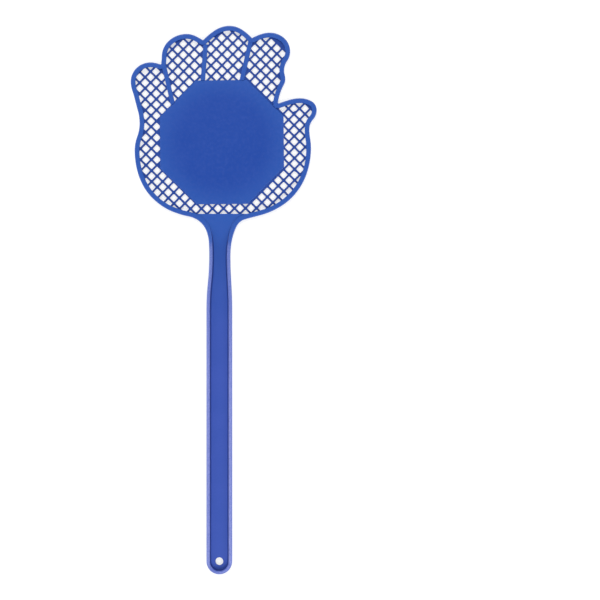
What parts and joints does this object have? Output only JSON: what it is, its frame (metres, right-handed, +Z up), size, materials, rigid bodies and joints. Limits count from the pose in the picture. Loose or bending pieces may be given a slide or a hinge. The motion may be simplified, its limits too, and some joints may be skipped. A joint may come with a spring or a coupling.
{
  "type": "fly swatter",
  "caption": "Hand-shaped moulded plastic fly swatter: open mesh fingers round a solid octagonal palm plate, on a slim channelled handle with a hang hole and a flexing neck.",
  "frame": {"origin": "on the hang hole's axis, at the flat underside", "axes": "+Y along the handle from the hang hole to the fingertips, +X towards the thumb, +Z up through the thickness, out of the channelled front face"},
  "size_m": [0.1471, 0.4337, 0.005],
  "materials": {
    "moulded_plastic": "satin"
  },
  "bodies": {
    "handle": {"handle_web": "moulded_plastic", "handle_bead": "moulded_plastic", "neck": "moulded_plastic"},
    "head": {"divider_little_ring": "moulded_plastic", "divider_middle_index": "moulded_plastic", "divider_ring_middle": "moulded_plastic", "head_root": "moulded_plastic", "mesh_bottom": "moulded_plastic", "mesh_index_finger": "moulded_plastic", "mesh_left_side": "moulded_plastic", "mesh_little_finger": "moulded_plastic", "mesh_lower_left": "moulded_plastic", "mesh_lower_right": "moulded_plastic", "mesh_middle_finger": "moulded_plastic", "mesh_right_side": "moulded_plastic", "mesh_ring_finger": "moulded_plastic", "mesh_thumb": "moulded_plastic", "palm_plate": "moulded_plastic", "rim_index_finger": "moulded_plastic", "rim_left_side": "moulded_plastic", "rim_little_finger": "moulded_plastic", "rim_lower_left": "moulded_plastic", "rim_lower_right": "moulded_plastic", "rim_middle_finger": "moulded_plastic", "rim_right_side": "moulded_plastic", "rim_ring_finger": "moulded_plastic", "rim_thumb": "moulded_plastic"}
  },
  "joints": [
    {"name": "neck_flex", "type": "hinge", "parent": "handle", "child": "head", "pos_m": [0, 0.256, 0.001], "axis": [1, 0, 0], "range_deg": [0, 30], "stiffness_Nm_per_rad": 1.2, "deforming": ["neck"]}
  ]
}
